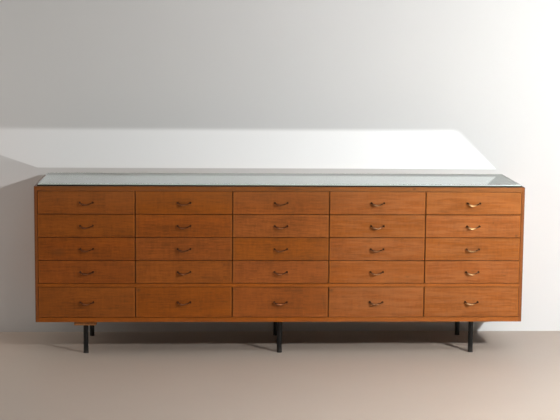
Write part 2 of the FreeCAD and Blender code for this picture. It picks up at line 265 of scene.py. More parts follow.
# Where a point lies on the fronts: its column from the left and its row from below, both from 0, its place
# from the middle of that front, and half of the front's height
def frontPlaces(tree, x, z):
    look, pitch = drawerLook, chest["columnPitch"]
    column = calc(tree, "FLOOR", scaled(tree, x, 1 / pitch, chest["columns"] / 2))
    localX = scaled(tree, calc(tree, "SUBTRACT", column, (chest["columns"] - 1) / 2), -pitch, x)
    steps = [calc(tree, "GREATER_THAN", z, seam) for seam in look["rowSeams"]]
    upper = calc(tree, "ADD", calc(tree, "ADD", steps[1], steps[2]), steps[3])
    row = calc(tree, "ADD", steps[0], upper)
    third, fourth, fifth = chest["rowMiddles"][-3:]
    middle = scaled(tree, upper, third - fourth, scaled(tree, steps[0], fourth - fifth, fifth))
    localZ = calc(tree, "SUBTRACT", z, middle)
    halfHeight = scaled(tree, steps[0], look["shallowHalf"] - look["deepHalf"], look["deepHalf"])
    return column, row, localX, localZ, halfHeight


# Veneer of the fronts, with a joint in the sheet on about half of them, and painted light: paler wood on the
# right
def frontVeneer(tree, place, column, row, localX):
    look = drawerLook
    sheet = chanceFor(tree, column, row, look["sheetSeed"])
    chance = addNode(tree, "SeparateColor", {0: sheet["Color"]}).outputs
    pastJoint = calc(tree, "GREATER_THAN", localX, scaled(tree, chance[1], *look["jointPlace"]))
    shift = vectorCalc(tree, "MULTIPLY", joinVector(tree, column, pastJoint, row), look["sheetShift"])
    color, height = woodGrain(tree, vectorCalc(tree, "ADD", place, shift), teak)
    # tone of the sheet, with a small step at its joint
    level = scaled(tree, chance[0], *look["tone"])
    level = scaled(tree, pastJoint, scaled(tree, chance[2], *look["jointTone"]), level)
    color = adjusted(tree, color, scaled(tree, chance[2], *look["hue"]),
                     scaled(tree, chance[1], *look["saturation"]), level)
    figure = noiseAt(tree, place, (5.5, 30.0, 60.0), detail=3.0, roughness=0.62)
    # painted light: paler, yellower veneer towards the right end, for the stronger light and sheen there
    palerWood = shades(tree, smoothRise(tree, figure, *look["figureSpan"]), look["palerWood"])
    paler = smoothRise(tree, axesOf(tree, place)[0], *veneer["palerSpan"])
    return mixColor(tree, product(tree, paler, look["paler"]), color, palerWood), height


# Age and use of the fronts, over the veneer's colour
def agedFront(tree, place, color, localX, localZ, halfHeight):
    look = drawerLook
    axes = axesOf(tree, place)
    # the finish has gone grey on the top row
    faded = product(tree, smoothRise(tree, axes[2], *look["fadedSpan"]),
                    noiseAt(tree, place, (1.7, 1.0, 9.0), detail=3.0))
    color = tinted(tree, color, faded, look["faded"])
    # lippings at both ends, with their hairline, and edges darkened within a few millimetres
    fromEnd = calc(tree, "SUBTRACT", look["halfWidth"], calc(tree, "ABSOLUTE", localX))
    fromRim = calc(tree, "SUBTRACT", halfHeight, calc(tree, "ABSOLUTE", localZ))
    color = tinted(tree, color, calc(tree, "LESS_THAN", fromEnd, look["lippingWidth"]), look["lipping"])
    hairline = calc(tree, "COMPARE", fromEnd, look["lippingWidth"], look["hairlineHalf"])
    color = tinted(tree, color, hairline, look["hairline"])
    # darker within a few millimetres of each front's edges, dotted by noise
    edgeDarkening = product(tree, smoothRise(tree, calc(tree, "MINIMUM", fromEnd, fromRim), *look["edgeDarkeningSpan"]),
                   noiseAt(tree, place, (9.0, 9.0, 9.0), detail=3.0))
    color = tinted(tree, color, edgeDarkening, look["edgeDarkening"])
    # a darker patch where hands reach behind the pull
    lowered = calc(tree, "ADD", localZ, look["handDrop"])
    hand = joinVector(tree, calc(tree, "DIVIDE", localX, look["handWidth"]),
                      calc(tree, "DIVIDE", lowered, look["handHeight"]), 0.0)
    handled = product(tree, smoothRise(tree, vectorCalc(tree, "LENGTH", hand), *look["handSpan"]),
                      noiseAt(tree, place, (14.0, 14.0, 20.0)))
    color = tinted(tree, color, handled, look["handled"])
    return mixColor(tree, markShade(tree, axes[0], axes[2]), color, rgb(look["markColor"]))


def drawerMaterial():
    material, tree, place = startMaterial("teakFrontAndBox")
    look = drawerLook
    x, y, z = axesOf(tree, place)
    column, row, localX, localZ, halfHeight = frontPlaces(tree, x, z)
    color, height = frontVeneer(tree, place, column, row, localX)
    color = agedFront(tree, place, color, localX, localZ, halfHeight)
    # box boards: sides and back carry their grain level, the panel carries it from side to side
    nearMiddle = calc(tree, "LESS_THAN", calc(tree, "ABSOLUTE", localX), look["panelHalf"])
    low = calc(tree, "LESS_THAN", calc(tree, "ADD", localZ, halfHeight), look["panelLevel"])
    onPanel = product(tree, nearMiddle, low)
    plain = joinVector(tree, calc(tree, "ADD", x, y), product(tree, row, look["boxShift"]), z)
    grainPlace = addNode(tree, "Mix", {0: onPanel, 4: plain, 5: joinVector(tree, x, z, y)},
                         data_type="VECTOR").outputs[1]
    plainColor, plainHeight = woodGrain(tree, grainPlace, boxWood)
    plainColor = tinted(tree, plainColor, onPanel, look["panel"])
    isFront = calc(tree, "LESS_THAN", y, look["veneerBack"])
    gloss = scaled(tree, noiseAt(tree, place, (5.0, 5.0, 12.0)), *look["gloss"])
    return finishVeneered(material, isFront, (plainColor, look["boxRoughness"], plainHeight),
                          (color, gloss, height))


# Rails: top, shelf and bottom, with grain from side to side, veneered in front and on top, plain elsewhere
railLook = dict(
    topFrom=0.94, grainShift=(13.0, 2.0, 1.7), wornSpan=(0.40, 0.68), worn=(0.6, (0.123, 0.047, 0.019)),
    paler=(0.13, (0.420, 0.195, 0.088)), top=(0.42, (0.160, 0.064, 0.027)),
    lower=(0.18, (0.410, 0.112, 0.014)), markColor=(0.048, 0.018, 0.010),
    veneerBack=-0.2794, topFace=0.9775, underside=0.1965, paintedUnderShade=(0.75, (0.055, 0.022, 0.010)),
    gloss=(0.16, 0.36), plainRoughness=0.62,
)


def railMaterial():
    material, tree, place = startMaterial("teakRails")
    look = railLook
    x, y, z = axesOf(tree, place)
    onTop = calc(tree, "GREATER_THAN", z, look["topFrom"])
    along, forward, up = look["grainShift"]
    shift = joinVector(tree, along, forward, product(tree, onTop, up))
    color, height = woodGrain(tree, vectorCalc(tree, "ADD", place, shift), teak)
    patches = smoothRise(tree, noiseAt(tree, place, (3.2, 3.0, 60.0), detail=4.0), *look["wornSpan"])
    color = tinted(tree, color, product(tree, onTop, patches), look["worn"])
    # painted light: the rails are painted paler towards the right end too
    color = tinted(tree, color, smoothRise(tree, x, *veneer["palerSpan"]), look["paler"])
    color = tinted(tree, color, onTop, look["top"])
    color = tinted(tree, color, calc(tree, "SUBTRACT", 1.0, onTop), look["lower"])
    color = mixColor(tree, markShade(tree, x, z), color, rgb(look["markColor"]))
    # plain board inside the case and below; the underside is darkened as painted shade
    plainColor, plainHeight = woodGrain(tree, joinVector(tree, x, z, y), caseBoard)
    # painted shade: the underside of the bottom panel is darkened
    below = calc(tree, "LESS_THAN", z, look["underside"])
    plainColor = tinted(tree, plainColor, below, look["paintedUnderShade"])
    behind = calc(tree, "GREATER_THAN", y, look["veneerBack"])
    shown = calc(tree, "GREATER_THAN", z, look["topFace"])
    inside = product(tree, behind, calc(tree, "SUBTRACT", 1.0, shown))
    gloss = scaled(tree, noiseAt(tree, place, (5.0, 5.0, 30.0)), *look["gloss"])
    return finishVeneered(material, inside, (color, gloss, height),
                          (plainColor, look["plainRoughness"], plainHeight))


# Side panels: upright grain outside, a darker front edge and top end, plain board inside
sideLook = dict(
    grainShift=3.0, leafStart=0.29, leafWidth=0.19, leafSeed=1.0, leafTone=(0.14, 0.93), saturation=0.97,
    scuffSpan=(0.62, 0.78), scuffs=(0.3, (0.100, 0.034, 0.013)),
    edgeBack=-0.2814, edge=(0.60, (0.165, 0.048, 0.017)),
    rimSpan=(1.3935, 1.3985), rim=(0.75, (0.060, 0.020, 0.009)),
    topEnd=0.9772, endGrain=(0.9, (0.022, 0.011, 0.008)), outerFace=1.3985,
    gloss=(0.18, 0.36), plainRoughness=0.62,
)


def sideMaterial():
    material, tree, place = startMaterial("teakSides")
    look = sideLook
    x, y, z = axesOf(tree, place)
    fromMiddle = calc(tree, "ABSOLUTE", x)
    upright = joinVector(tree, z, x, calc(tree, "ADD", y, look["grainShift"]))
    color, height = woodGrain(tree, upright, teak)
    # veneer leaves side by side, each with its own tone
    fromFront = calc(tree, "ADD", y, look["leafStart"])
    leaf = calc(tree, "FLOOR", calc(tree, "DIVIDE", fromFront, look["leafWidth"]))
    chance = chanceFor(tree, leaf, calc(tree, "SIGN", x), look["leafSeed"])["Value"]
    color = adjusted(tree, color, 0.5, look["saturation"], scaled(tree, chance, *look["leafTone"]))
    scuffs = noiseAt(tree, place, (9.0, 5.0, 3.0), detail=5.0, roughness=0.7)
    color = tinted(tree, color, smoothRise(tree, scuffs, *look["scuffSpan"]), look["scuffs"])
    edge = calc(tree, "LESS_THAN", y, look["edgeBack"])
    color = tinted(tree, color, edge, look["edge"])
    rim = product(tree, edge, smoothRise(tree, fromMiddle, *look["rimSpan"]))
    color = tinted(tree, color, rim, look["rim"])
    endGrain = calc(tree, "GREATER_THAN", z, look["topEnd"])
    color = tinted(tree, color, endGrain, look["endGrain"])
    plainColor, plainHeight = woodGrain(tree, upright, caseBoard)
    inside = product(tree, calc(tree, "LESS_THAN", fromMiddle, look["outerFace"]),
                     calc(tree, "SUBTRACT", 1.0, calc(tree, "MAXIMUM", edge, endGrain)))
    gloss = scaled(tree, noiseAt(tree, place, (12.0, 6.0, 4.0)), *look["gloss"])
    return finishVeneered(material, inside, (color, gloss, height),
                          (plainColor, look["plainRoughness"], plainHeight))


# Partitions and runners: plain board, waxed and rubbed, with the front edges stained
frameworkLook = dict(rubbedSpan=(0.45, 0.6), rubbed=(0.25, (0.50, 0.31, 0.16)), stainSpan=(-0.2560, -0.2640),
                     stain=(0.92, (0.200, 0.068, 0.026)), roughness=(-0.15, 0.65), bump=0.00015)


def frameworkMaterial():
    material, tree, place = startMaterial("plainFramework")
    look = frameworkLook
    x, y, z = axesOf(tree, place)
    color, height = woodGrain(tree, joinVector(tree, y, x, z), caseBoard)
    rubbed = smoothRise(tree, noiseAt(tree, place, (60.0, 4.0, 60.0)), *look["rubbedSpan"])
    color = tinted(tree, color, rubbed, look["rubbed"])
    color = tinted(tree, color, smoothRise(tree, y, *look["stainSpan"]), look["stain"])
    return finishMaterial(material, color, scaled(tree, rubbed, *look["roughness"]), height, look["bump"])


# Back panel: upright ply, dusty near the floor, with two seams between its sheets
ply = dict(caseBoard, colors=((0.30, 0.17, 0.080), (0.47, 0.30, 0.16)), lines=0.09, linesPerMetre=16.0,
           lineDrift=0.16)
backLook = dict(dustSpan=(0.50, 0.20), dust=(0.45, (0.20, 0.12, 0.065)), seamHalf=0.0007,
                seam=(0.6, (0.08, 0.045, 0.02)), roughness=0.68, bump=0.00018)


def backMaterial():
    material, tree, place = startMaterial("backPly")
    look = backLook
    x, y, z = axesOf(tree, place)
    color, height = woodGrain(tree, joinVector(tree, z, y, x), ply)
    dust = product(tree, smoothRise(tree, z, *look["dustSpan"]),
                   noiseAt(tree, place, (4.0, 4.0, 6.0), detail=4.0))
    color = tinted(tree, color, dust, look["dust"])
    seam = calc(tree, "COMPARE", calc(tree, "ABSOLUTE", x), chest["columnPitch"], look["seamHalf"])
    color = tinted(tree, color, seam, look["seam"])
    return finishMaterial(material, color, look["roughness"], height, look["bump"])


# Black board under the glass: satin lacquer, cloudy and rubbed in places
lacquerLook = dict(black=((0.006, 0.006, 0.006), (0.016, 0.015, 0.014)), rubbedSpan=(0.58, 0.72),
                   rubbed=(0.4, (0.045, 0.036, 0.028)), roughness=(0.2, 0.4), bump=0.00005)


def lacquerMaterial():
    material, tree, place = startMaterial("blackLacquer")
    look = lacquerLook
    clouds = noiseAt(tree, place, (7.0, 7.0, 30.0), detail=4.0)
    rubbed = smoothRise(tree, noiseAt(tree, place, (30.0, 30.0, 90.0), detail=4.0), *look["rubbedSpan"])
    color = shades(tree, clouds, look["black"])
    color = tinted(tree, color, rubbed, look["rubbed"])
    return finishMaterial(material, color, scaled(tree, clouds, *look["roughness"]), rubbed, look["bump"],
                          {"Specular IOR Level": 0.2})


# Clear sheet glass with faint smears in the polish
glassLook = dict(clear=((0.76, 0.93, 0.87), (0.74, 0.915, 0.855)), smearSpan=(0.45, 0.8),
                 roughness=(0.03, 0.008), bump=0.00001)


def glassMaterial():
    material, tree, place = startMaterial("plateGlass")
    look = glassLook
    smears = noiseAt(tree, place, (3.0, 7.0, 3.0), detail=5.0, roughness=0.65)
    smears = smoothRise(tree, smears, *look["smearSpan"])
    color = shades(tree, smears, look["clear"])
    return finishMaterial(material, color, scaled(tree, smears, *look["roughness"]), smears, look["bump"],
                          {"Transmission Weight": 1.0, "IOR": 1.55})


# Ground rim of the glass: pale green and milky, with small chips. Its ends are painted near black,
# as a painted view of the black board through the glass.
glassRimLook = dict(milky=((0.50, 0.58, 0.53), (0.58, 0.66, 0.61)), chipSpan=(0.62, 0.70),
                    chips=(0.5, (0.30, 0.41, 0.35)), endFrom=1.3780, ends=(0.95, (0.012, 0.018, 0.015)),
                    roughness=(0.25, 0.25), bump=0.00005)


def glassRimMaterial():
    material, tree, place = startMaterial("glassRim")
    look = glassRimLook
    chips = smoothRise(tree, noiseAt(tree, place, (130.0, 130.0, 400.0), detail=3.0), *look["chipSpan"])
    color = shades(tree, noiseAt(tree, place, (25.0, 25.0, 200.0)), look["milky"])
    color = tinted(tree, color, chips, look["chips"])
    # painted view through the glass: the end faces are painted near black
    ends = calc(tree, "GREATER_THAN", calc(tree, "ABSOLUTE", axesOf(tree, place)[0]), look["endFrom"])
    color = tinted(tree, color, ends, look["ends"])
    return finishMaterial(material, color, scaled(tree, chips, *look["roughness"]), chips, look["bump"])


# Legs: black paint on steel, slightly orange-peeled and chipped, dusty near the floor
steelLook = dict(paint=(0.0040, 0.0038, 0.0040), chipSpan=(0.68, 0.73), chips=(0.6, (0.04, 0.036, 0.033)),
                 dustSpan=(0.05, 0.0), dust=(0.28, (0.16, 0.14, 0.12)), peelRoughness=(0.1, 0.27),
                 dustRoughness=0.3, bump=0.00004)


def steelMaterial():
    material, tree, place = startMaterial("blackSteel")
    look = steelLook
    peel = noiseAt(tree, place, (420.0, 420.0, 420.0), detail=1.0)
    chips = noiseAt(tree, place, (150.0, 150.0, 90.0), detail=3.0, roughness=0.6)
    low = smoothRise(tree, axesOf(tree, place)[2], *look["dustSpan"])
    dust = product(tree, low, noiseAt(tree, place, (70.0, 70.0, 40.0), detail=3.0))
    color = tinted(tree, rgb(look["paint"]), smoothRise(tree, chips, *look["chipSpan"]), look["chips"])
    color = tinted(tree, color, dust, look["dust"])
    roughness = scaled(tree, dust, look["dustRoughness"], scaled(tree, peel, *look["peelRoughness"]))
    return finishMaterial(material, color, roughness, peel, look["bump"], {"Specular IOR Level": 0.30})


# Pulls: cast brass, brown and dull near the front, rubbed where fingers hold the bow. Towards the right end,
# and most on the upper rows there, the rubbed brass is painted brighter: a painted highlight.
brassLook = dict(patina=((0.036, 0.012, 0.004), (0.096, 0.034, 0.011)), grimeWander=-0.006,
                 handledSpan=(-0.3055, -0.3145), upperSpan=(0.66, 0.80), upper=(0.50, 0.50),
                 paintedHighlightSpan=(0.30, 1.10), worn=((0.150, 0.052, 0.019), (0.62, 0.400, 0.190)),
                 grimeRoughness=(0.14, 0.40), handledRoughness=-0.12, bump=0.00006)


def brassMaterial():
    material, tree, place = startMaterial("agedBrass")
    look = brassLook
    x, y, z = axesOf(tree, place)
    grime = noiseAt(tree, place, (160.0, 160.0, 160.0), detail=4.0, roughness=0.6)
    handled = smoothRise(tree, scaled(tree, grime, look["grimeWander"], y), *look["handledSpan"])
    patina = shades(tree, grime, look["patina"])
    upper = scaled(tree, smoothRise(tree, z, *look["upperSpan"]), *look["upper"])
    # painted highlight: brighter brass towards the right end and on the upper rows there
    paintedHighlight = product(tree, smoothRise(tree, x, *look["paintedHighlightSpan"]), upper)
    worn = shades(tree, paintedHighlight, look["worn"])
    roughness = scaled(tree, handled, look["handledRoughness"], scaled(tree, grime, *look["grimeRoughness"]))
    return finishMaterial(material, mixColor(tree, handled, patina, worn), roughness, grime, look["bump"],
                          {"Metallic": 1.0, "Coat Weight": 0.22, "Coat Roughness": 0.18})


# Packing board: soft wood with an orange-brown stain, grain from front to back
pine = dict(teak, colors=((0.21, 0.072, 0.017), (0.48, 0.20, 0.060)), lines=0.10, linesPerMetre=110.0,
            lineDrift=0.02)
packingLook = dict(handledSpan=(0.55, 0.75), handled=(0.4, (0.12, 0.05, 0.02)), roughness=(0.12, 0.55),
                   bump=0.0002)


def packingMaterial():
    material, tree, place = startMaterial("packingWood")
    look = packingLook
    x, y, z = axesOf(tree, place)
    color, height = woodGrain(tree, joinVector(tree, y, z, x), pine)
    handled = smoothRise(tree, noiseAt(tree, place, (20.0, 8.0, 30.0), detail=4.0), *look["handledSpan"])
    color = tinted(tree, color, handled, look["handled"])
    return finishMaterial(material, color, scaled(tree, handled, *look["roughness"]), height, look["bump"])


# Glides: black moulded plastic, fine matt texture, greyed underneath
glideLook = dict(black=((0.011, 0.011, 0.012), (0.09, 0.085, 0.08)), scrapedSpan=(0.0012, 0.0002),
                 roughness=(0.2, 0.42), bump=0.00003)


def glideMaterial():
    material, tree, place = startMaterial("glidePlastic")
    look = glideLook
    matt = noiseAt(tree, place, (900.0, 900.0, 900.0))
    scraped = smoothRise(tree, axesOf(tree, place)[2], *look["scrapedSpan"])
    color = shades(tree, scraped, look["black"])
    return finishMaterial(material, color, scaled(tree, matt, *look["roughness"]), matt, look["bump"])


# Screws: zinc gone dull, in darker and lighter spots
screwLook = dict(zinc=((0.14, 0.115, 0.08), (0.46, 0.42, 0.35)), roughness=(0.25, 0.32), bump=0.00003)


def screwMaterial():
    material, tree, place = startMaterial("dullScrews")
    look = screwLook
    spots = noiseAt(tree, place, (700.0, 700.0, 700.0), detail=3.0, roughness=0.6)
    color = shades(tree, spots, look["zinc"])
    return finishMaterial(material, color, scaled(tree, spots, *look["roughness"]), spots, look["bump"],
                          {"Metallic": 1.0})


finishes = dict(
    drawer=drawerMaterial(), rail=railMaterial(), side=sideMaterial(), framework=frameworkMaterial(),
    back=backMaterial(), lacquer=lacquerMaterial(), glass=glassMaterial(), glassRim=glassRimMaterial(),
    steel=steelMaterial(), brass=brassMaterial(), packing=packingMaterial(), glide=glideMaterial(),
    screw=screwMaterial(),
)
cadFinish = dict(side_panels="side", top_panel="rail", bottom_panel="rail", middle_shelf="rail",
                 partitions_and_runners="framework", back_panel="back", black_board="lacquer",
                 packing_board="packing")
for nodeName, cadObject in cadNodes.items():
    if nodeName.startswith("drawer_"):
        cadObject.data.materials[0] = finishes["drawer"]
    elif nodeName in cadFinish:
        cadObject.data.materials[0] = finishes[cadFinish[nodeName]]
print("materials made:", len(finishes))


# Surfaces

def addObject(name, data):
    made = bpy.data.objects.new(name, data)
    bpy.context.scene.collection.objects.link(made)
    return made


def addMesh(name, corners, faces, material):
    mesh = bpy.data.meshes.new(name)
    mesh.from_pydata(corners, [], faces)
    mesh.materials.append(material)
    return addObject(name, mesh)


# A smooth curve through given (x, y) points: each stretch is a cubic whose slopes are half the step
# between its neighbours, worked out for all samples at once.
def smoothCurve(points, samples):
    given = np.asarray(points, float)
    padded = np.vstack([2 * given[0] - given[1], given, 2 * given[-1] - given[-2]])
    where = np.linspace(0, len(given) - 1, samples)
    start = np.minimum(where.astype(int), len(given) - 2)
    t = (where - start)[:, None]
    before, near, far, beyond = (padded[start + k] for k in range(4))
    return 0.5 * (2 * near + (far - before) * t + (2 * before - 5 * near + 4 * far - beyond) * t ** 2
                  + (3 * near - before - 3 * far + beyond) * t ** 3)


# Rings of points (ring, place on the ring, xyz) joined by quads, with a fan of triangles from the middle
# of the first and the last ring. Several sets of rings may share one mesh.
def ringMesh(name, ringSets, finish, angle):
    corners, faces, base = [], [], 0
    for rings in ringSets:
        count, around = rings.shape[:2]
        corners.append(np.vstack([rings.reshape(-1, 3), rings[0].mean(0), rings[-1].mean(0)]))
        ring, spot = np.meshgrid(np.arange(count - 1), np.arange(around), indexing="ij")
        low, high, after = ring * around, (ring + 1) * around, (spot + 1) % around
        quads = np.stack([low + spot, low + after, high + after, high + spot], -1).reshape(-1, 4)
        spot, after, lastRing = spot[0], after[0], (count - 1) * around
        first = np.stack([np.full(around, count * around), after, spot], -1)
        last = np.stack([np.full(around, count * around + 1), lastRing + spot, lastRing + after], -1)
        faces += (quads + base).tolist() + (first + base).tolist() + (last + base).tolist()
        base += count * around + 2
    piece = addMesh(name, np.vstack(corners).tolist(), faces, finishes[finish])
    piece.data.shade_smooth()
    piece.data.set_sharp_from_angle(angle=math.radians(angle))
    return piece


def fullTurn(around):
    return np.linspace(0, 2 * np.pi, around, endpoint=False)


# Directions square to an axis, as cos a * side + sin a * other, counted so that faces point outwards
def directionsRound(axis, angle):
    side = np.array([0.0, 0.0, 1.0]) if abs(axis[2]) < 0.5 else np.array([1.0, 0.0, 0.0])
    return np.cos(angle)[:, None] * side + np.sin(angle)[:, None] * np.cross(axis, side)


# A profile of (distance along the axis, radius) turned round an axis through the origin: each ring is
# origin + distance * axis + radius * direction, for the directions round the axis.
def turned(profile, origin, axis, around):
    profile = np.asarray(profile, float)
    axis = np.asarray(axis, float)
    circle = directionsRound(axis, fullTurn(around))
    return np.asarray(origin) + profile[:, None, :1] * axis + profile[:, None, 1:] * circle


# A rounded rectangle taken as a profile of (inset, height): each ring is the outline moved inwards by
# the inset, with corners on a quarter circle of the corner radius less the inset.
def slab(profile, low, high, corner, steps=5):
    profile, low, high = (np.asarray(values, float) for values in (profile, low, high))
    quarter = np.linspace(0, np.pi / 2, steps)
    turn = np.concatenate([quarter + k * np.pi / 2 for k in range(4)])
    signX = np.repeat([1, -1, -1, 1], steps)
    signY = np.repeat([1, 1, -1, -1], steps)
    middle, half = (low + high) / 2, (high - low) / 2
    inset, level = profile[:, :1], profile[:, 1:]
    radius = np.maximum(corner - inset, 0.0)
    straight = half[None, :] - inset - radius
    x = middle[0] + signX * straight[:, :1] + radius * np.cos(turn)
    y = middle[1] + signY * straight[:, 1:] + radius * np.sin(turn)
    return np.stack([x, y, np.broadcast_to(level, x.shape)], -1)


# Bow pulls

bow = dict(half=0.036, reach=0.0104, bowReach=0.0103, droop=0.0115, lean=-0.4, endRadius=0.0024,
           middleTall=0.0060, middleDeep=0.0038, swellPower=1.3, pastPost=1.05, closeFrom=0.97,
           closeOver=0.081, stations=45, around=20, postAround=24, postSamples=34)
# post from the veneer outwards: rosette, neck, mushroom head
postProfile = (
    (0.0, 0.0052), (0.0006, 0.0058), (0.0015, 0.0054), (0.0026, 0.0040), (0.0058, 0.0034), (0.0082, 0.0039),
    (0.0098, 0.0049), (0.0117, 0.0052), (0.0134, 0.0046), (0.0146, 0.0032), (0.0152, 0.0012),
)


# The cosine of a quarter turn of (t - lean) / (1 - lean * t): 0 at both ends and 1 at t = lean
def leaningArch(t, lean):
    return np.cos(np.pi / 2 * (t - lean) / (1 - lean * t))


# The bow: its middle line is x = half * t, pushed out by the leaning arch of t and down by the arch with a
# third of the lean, and runs a little past the posts. Its oval section swells with a power of the first
# arch and closes at both ends as a quarter circle does.
def bowRings(middleX, level):
    t = np.sin(np.linspace(-np.pi / 2, np.pi / 2, bow["stations"]))
    t[0], t[-1] = -0.9999, 0.9999  # just short of the ends
    t = t * bow["pastPost"]
    swell = leaningArch(np.clip(t, -1, 1), bow["lean"])
    drop = leaningArch(np.clip(t, -1, 1), bow["lean"] / 3)
    line = np.stack([bow["half"] * t, -(bow["reach"] + bow["bowReach"] * swell), -bow["droop"] * drop], -1)
    slant = np.array([0.0, -bow["bowReach"], -bow["droop"]])
    slant /= np.linalg.norm(slant)
    across = np.cross(slant, [1.0, 0.0, 0.0])
    along = np.gradient(line, axis=0)
    along /= np.linalg.norm(along, axis=1)[:, None]
    inPlane = np.cross(across, along)
    ending = np.clip((np.abs(t) - bow["closeFrom"]) / bow["closeOver"], 0, 1)
    close = np.sqrt(np.clip(1 - ending ** 2, 0.0004, 1))
    end, fullness = bow["endRadius"], swell ** bow["swellPower"]
    tall = (end + (bow["middleTall"] - end) * fullness) * close
    deep = (end + (bow["middleDeep"] - end) * fullness) * close
    angle = fullTurn(bow["around"])
    rings = (line[:, None] + (tall[:, None] * np.cos(angle))[..., None] * inPlane[:, None]
             + (deep[:, None] * np.sin(angle))[..., None] * across)
    return rings + np.array([middleX, chest["frontFace"], level])


def makePull(column, row):
    middleX, level = frontMiddle(column, row)
    curve = smoothCurve(postProfile, bow["postSamples"])
    posts = [turned(curve, (middleX + side * bow["half"], chest["frontFace"], level), (0, -1, 0),
                    bow["postAround"]) for side in (-1, 1)]
    piece = ringMesh(f"bowPull_c{column}r{row}", [bowRings(middleX, level)] + posts, "brass", 60.0)
    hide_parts(f"pull_c{column}r{row}")
    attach(piece, f"body_c{column}r{row}")


for column, row in drawerPlaces:
    makePull(column, row)
print("bow pulls made:", len(drawerPlaces))


# Screws

screwHead = dict(radius=0.0042, dome=0.0009, lift=0.00005, stem=0.0008, slotHalf=0.0006, slotDepth=0.0007,
                 innerRing=0.12, around=16, rings=5)


# A domed screw head: height falls with the square of the distance from its middle, and drops by the slot's
# depth within the slot's half width, except at the rim. The slot is turned by the given angle.
def screwRings(origin, axis, turn, scale=1.0):
    head = screwHead
    reach = np.linspace(1.0, head["innerRing"], head["rings"])[:, None]
    angle = fullTurn(head["around"])
    axis = np.asarray(axis, float)
    radius = reach * head["radius"] * scale
    inSlot = (np.abs(radius * np.sin(angle - turn)) < head["slotHalf"]) & (reach < 1)
    height = head["dome"] * scale * (1 - reach ** 2) + head["lift"] - head["slotDepth"] * scale * inSlot
    circle = directionsRound(axis, angle)
    rings = np.asarray(origin) + height[..., None] * axis + radius[..., None] * circle
    return np.concatenate([rings[:1] - axis * head["stem"], rings])


randomTurns = np.random.default_rng(7)
for column, row in drawerPlaces:
    middleX, level = frontMiddle(column, row)
    heads = [screwRings((middleX + side * bow["half"], chest["frontBack"], level), (0, 1, 0),
                        randomTurns.uniform(0, np.pi)) for side in (-1, 1)]
    screws = ringMesh(f"pullScrews_c{column}r{row}", heads, "screw", 40.0)
    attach(screws, f"body_c{column}r{row}")

# screws in the back panel: whole rows at the rails, and only the two outer ones between them
backRows = dict(half=1.372, across=13, levels=(0.211, 0.41, 0.59, 0.775, 0.963), outerOnly=(0.59, 0.775),
                scale=0.9)
backHeads = [screwRings((x, chest["rearFace"], z), (0, 1, 0), randomTurns.uniform(0, np.pi),
                        backRows["scale"]) for z in backRows["levels"]
             for x in np.linspace(-backRows["half"], backRows["half"], backRows["across"])
             if z not in backRows["outerOnly"] or abs(x) > 0.99 * backRows["half"]]
backScrews = ringMesh("backScrews", backHeads, "screw", 40.0)
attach(backScrews, "case")
print("screws made:", 2 * len(drawerPlaces) + len(backHeads))


# Legs

leg = dict(columns=(-1.12, 0.0, 1.12), front=-0.2124, rear=0.2576, radius=0.0145, caseHeight=0.196,
           boardHeight=0.172, glideHeight=0.005, rim=((0.0, 0.0010), (0.0004, 0.0003), (0.0012, 0.0)),
           wallLevels=(0.03, 0.08, 0.13), wallEnd=0.0052, weldFoot=0.0048, weldTall=0.0046,
           weldSwell=0.0022, weldPower=0.8, weldFlare=0.0012, shoulder=0.001, plate=0.064,
           plateThick=0.003, plateCorner=0.006, screwSpread=0.0245, screwScale=1.1, around=40)
glideProfile = ((0.0, 0.0125), (0.0003, 0.0141), (0.0010, 0.0151), (0.0019, 0.0155), (0.0042, 0.0155),
                (0.0049, 0.0151), (0.0050, 0.0140))


# Tube profile from the glide to the plate, as (height, radius): a turned-in lower rim, a straight wall and
# a weld bead whose radius grows evenly and swells with a power of the sine across its height.
def tubeProfile(height):
    radius, top = leg["radius"], height - leg["plateThick"]
    rim = [(leg["glideHeight"] + rise, radius - inset) for rise, inset in leg["rim"]]
    wall = [(level, radius) for level in (*leg["wallLevels"], top - leg["wallEnd"])]
    share = np.linspace(0, 1, 9)
    swell = leg["weldSwell"] * np.sin(np.pi * share) ** leg["weldPower"] + leg["weldFlare"] * share
    weld = np.column_stack([top - leg["weldFoot"] + leg["weldTall"] * share, radius + swell])
    return rim + wall + weld.tolist() + [(top, radius + leg["shoulder"])]


tubes, plates, glides, legHeads = [], [], [], []
for x in leg["columns"]:
    height = leg["boardHeight"] if x == leg["columns"][0] else leg["caseHeight"]
    under = height - leg["plateThick"]
    half, spread = leg["plate"] / 2, leg["screwSpread"]
    plateProfile = ((0.0004, under), (0.0, under + 0.0004), (0.0, height - 0.0003), (0.0003, height))
    for y in (leg["front"], leg["rear"]):
        tubes.append(turned(tubeProfile(height), (x, y, 0.0), (0, 0, 1), leg["around"]))
        glides.append(turned(glideProfile, (x, y, 0.0), (0, 0, 1), leg["around"]))
        plates.append(slab(plateProfile, (x - half, y - half), (x + half, y + half), leg["plateCorner"]))
        for sideX in (-1, 1):
            for sideY in (-1, 1):
                legHeads.append(screwRings((x + sideX * spread, y + sideY * spread, under), (0, 0, -1),
                                           randomTurns.uniform(0, np.pi), leg["screwScale"]))
legParts = (("legTubes", tubes, "steel", 50.0), ("legPlates", plates, "steel", 30.0),
            ("legGlides", glides, "glide", 50.0), ("legScrews", legHeads, "screw", 40.0))
for name, rings, finish, angle in legParts:
    piece = ringMesh(name, rings, finish, angle)
    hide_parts("legs")
    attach(piece, "case")
print("legs made:", len(tubes))


# Glass

glassSheet = dict(low=(-1.3805, -0.2754), high=(1.3805, 0.3006), bottom=0.9852, top=0.993, corner=0.004,
                  flat=0.0015, bulge=0.55, flatFace=0.97)


